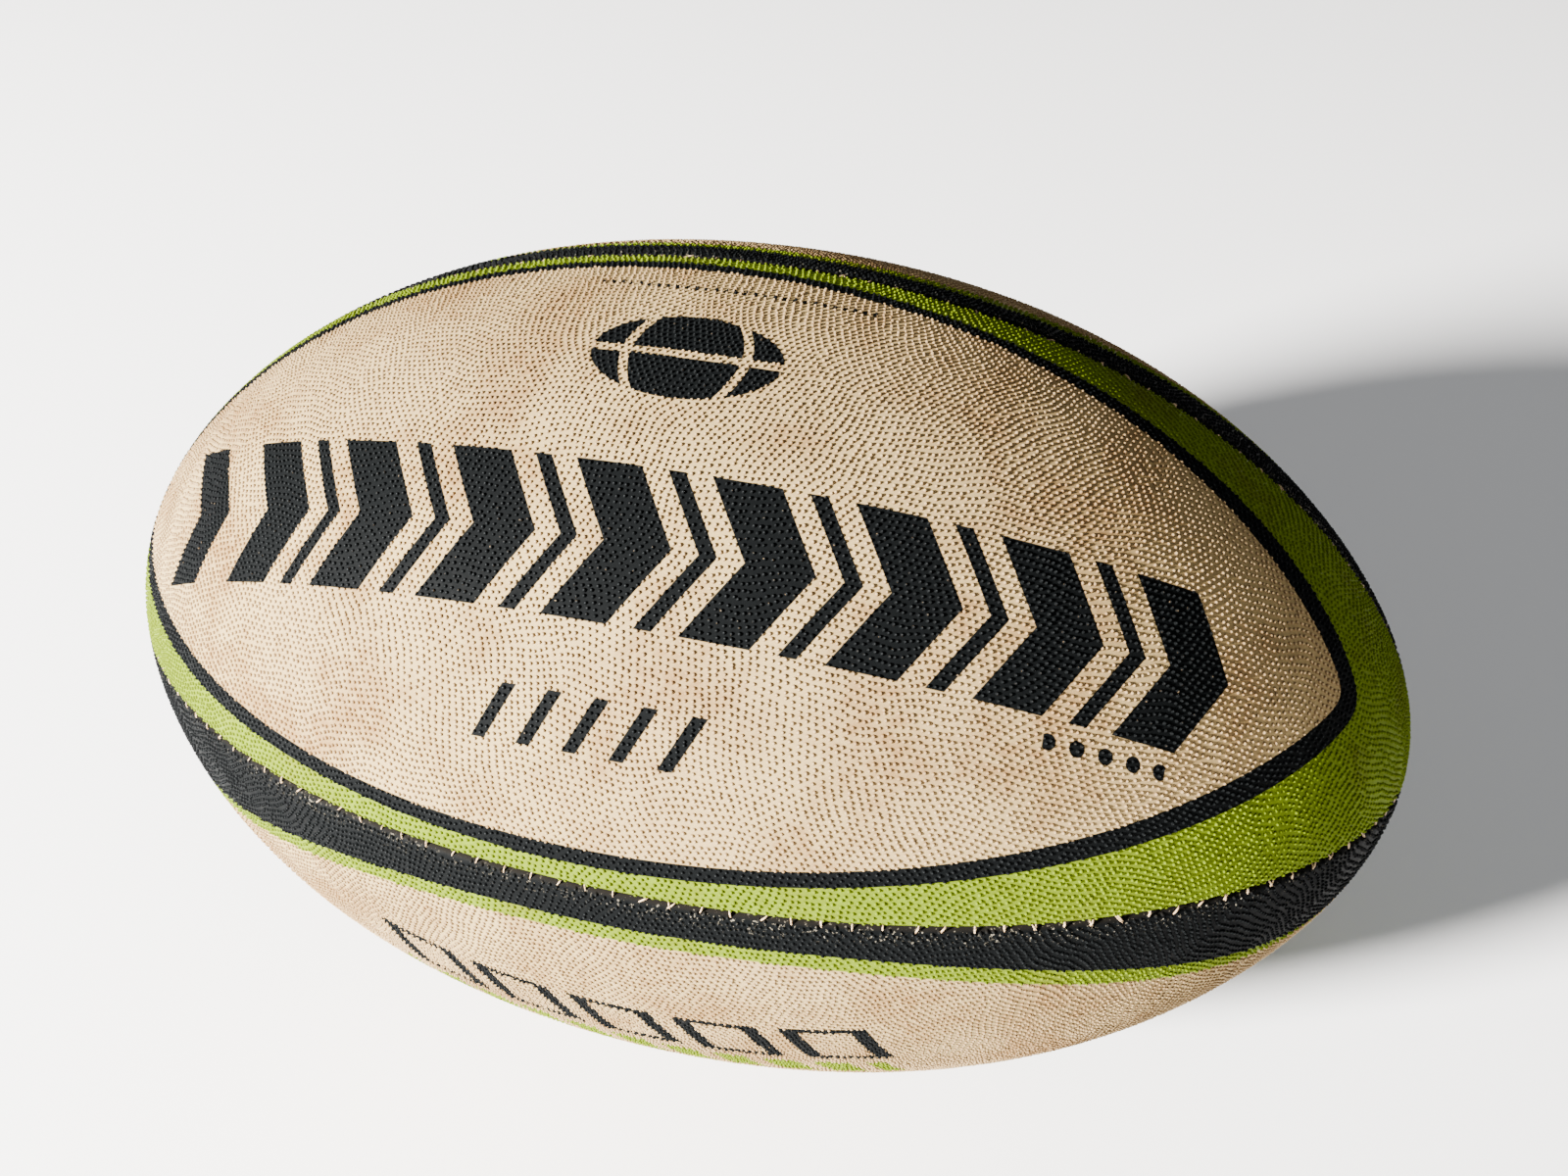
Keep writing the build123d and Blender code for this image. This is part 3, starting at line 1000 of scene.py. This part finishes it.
def woven_material(name):
    """Cotton cloth laminated in latex: two sets of threads crossing."""
    n = Nodes(name)
    around, lengthwise = around_and_along(n)
    warp = n.math("SINE", n.math("MULTIPLY", lengthwise, 2 * math.pi / WEAVE_PITCH))
    weft = n.math("SINE", n.math("MULTIPLY", around, 2 * math.pi / WEAVE_PITCH))
    weave = n.math("MULTIPLY", warp, weft)
    latex = n.noise(60.0, detail=4.0, roughness=0.6)
    cloth = n.mix(n.ramp(weave, low=-0.8, high=0.8), CLOTH_DARK, CLOTH_LIGHT)
    soaked = n.ramp(latex, low=0.4, high=0.8, from_zero=0.0, to_one=0.4)
    cloth = n.mix(soaked, cloth, LATEX)
    n.tree.links.new(cloth, n.shader.inputs["Base Color"])
    dull = n.ramp(weave, low=-1.0, high=1.0, from_zero=0.92, to_one=0.78)
    n.join(dull, n.shader.inputs["Roughness"])
    n.bump(weave, strength=0.5, distance=0.1 * MM)
    return n.material


# ---------------------------------------------------------------- build the ball

GREEN_EDGED = printed_rubber("rubber_green_edged", green_edged=True)
BLACK_EDGED = printed_rubber("rubber_black_edged", green_edged=False)
THREAD = thread_material("waxed_thread")
CLOTH = woven_material("cotton_ply")
BLADDER = mottled_material("bladder_rubber", BLADDER_TINTS, scale=60.0, roughness=0.5, grain=0.1 * MM)
VALVE = mottled_material("valve_rubber", VALVE_TINTS, scale=400.0, roughness=0.6, grain=0.05 * MM)

for panel in range(1, PANELS + 1):
    printed = GREEN_EDGED if panel % 2 else BLACK_EDGED
    panel_skin(panel).data.materials.append(printed)
    for strip in PIMPLE_STRIPS:
        pimple_strip(panel, strip).data.materials.append(printed)
    stitches(panel).data.materials.append(THREAD)

for node_name, node in frame["nodes"].items():
    if "_ply_" in node_name:
        finish = CLOTH
    elif node_name.endswith("_thread"):
        finish = THREAD
    elif node_name == "bladder":
        finish = BLADDER
    elif node_name.startswith("valve"):
        finish = VALVE
    else:
        continue
    node.data.materials.clear()
    node.data.materials.append(finish)


# ---------------------------------------------------------------- floor, light and camera

FLOOR_HALF = 9.0
FLOOR_TINTS = ((0.92, 0.92, 0.93), (0.95, 0.95, 0.95))
FLOOR_CLOUD_SCALE = 3.0
FLOOR_ROUGHNESS = 0.6

KEY_PLACE = (-1.50, -1.39, 0.81)
KEY_SIZE = 0.36
KEY_WATTS = 660.0
KEY_TINT = (1.0, 0.97, 0.93)
FILL_PLACE = (0.6, -0.2, 2.0)
FILL_SIZE = 1.5
FILL_WATTS = 5.0
FILL_TINT = (0.95, 0.97, 1.0)
ROOM_TINT = (0.96, 0.98, 1.0, 1.0)
ROOM_STRENGTH = 0.25

CAMERA_PLACE = (0.0811, -0.2312, 0.2472)
CAMERA_TARGET = (0.0074, 0.0116, 0.0096)
CAMERA_ROLL = math.radians(-2.5)
CAMERA_LENS = 33.75
CAMERA_SENSOR = 36.0
CAMERA_NEAR = 0.01


def floor():
    """A wide pale floor under the ball."""
    level = cad_low[2] - PIMPLE_HEIGHT
    corners = [
        (-FLOOR_HALF, -FLOOR_HALF, level),
        (FLOOR_HALF, -FLOOR_HALF, level),
        (FLOOR_HALF, FLOOR_HALF, level),
        (-FLOOR_HALF, FLOOR_HALF, level),
    ]
    mesh = bpy.data.meshes.new("floor")
    mesh.from_pydata(corners, [], [(0, 1, 2, 3)])
    plane = bpy.data.objects.new("floor", mesh)
    bpy.context.scene.collection.objects.link(plane)
    n = Nodes("floor_paint")
    paint = n.mix(n.noise(FLOOR_CLOUD_SCALE), *FLOOR_TINTS)
    n.tree.links.new(paint, n.shader.inputs["Base Color"])
    n.shader.inputs["Roughness"].default_value = FLOOR_ROUGHNESS
    mesh.materials.append(n.material)


def area_light(name, place, size, watts, tint):
    """A round soft light aimed at the ball."""
    data = bpy.data.lights.new(name, "AREA")
    data.shape = "DISK"
    data.size = size
    data.energy = watts
    data.color = tint
    lamp = bpy.data.objects.new(name, data)
    bpy.context.scene.collection.objects.link(lamp)
    lamp.location = place
    lamp.rotation_euler = (-Vector(place)).to_track_quat("-Z", "Y").to_euler()


def world_light(colour, strength):
    """Even pale light from all round, as in a bright room."""
    world = bpy.data.worlds.new("studio")
    world.use_nodes = True
    world.node_tree.nodes["Background"].inputs["Color"].default_value = colour
    world.node_tree.nodes["Background"].inputs["Strength"].default_value = strength
    bpy.context.scene.world = world


def camera():
    """The camera, close above the ball and a little to its right."""
    data = bpy.data.cameras.new("camera")
    data.sensor_width = CAMERA_SENSOR
    data.lens = CAMERA_LENS
    data.clip_start = CAMERA_NEAR
    eye = bpy.data.objects.new("camera", data)
    bpy.context.scene.collection.objects.link(eye)
    aim = (Vector(CAMERA_TARGET) - Vector(CAMERA_PLACE)).to_track_quat("-Z", "Y").to_matrix()
    eye.location = CAMERA_PLACE
    eye.rotation_euler = (aim @ Matrix.Rotation(CAMERA_ROLL, 3, "Z")).to_euler()
    bpy.context.scene.camera = eye


floor()
area_light("key", KEY_PLACE, KEY_SIZE, KEY_WATTS, KEY_TINT)
area_light("fill", FILL_PLACE, FILL_SIZE, FILL_WATTS, FILL_TINT)
world_light(ROOM_TINT, ROOM_STRENGTH)
camera()
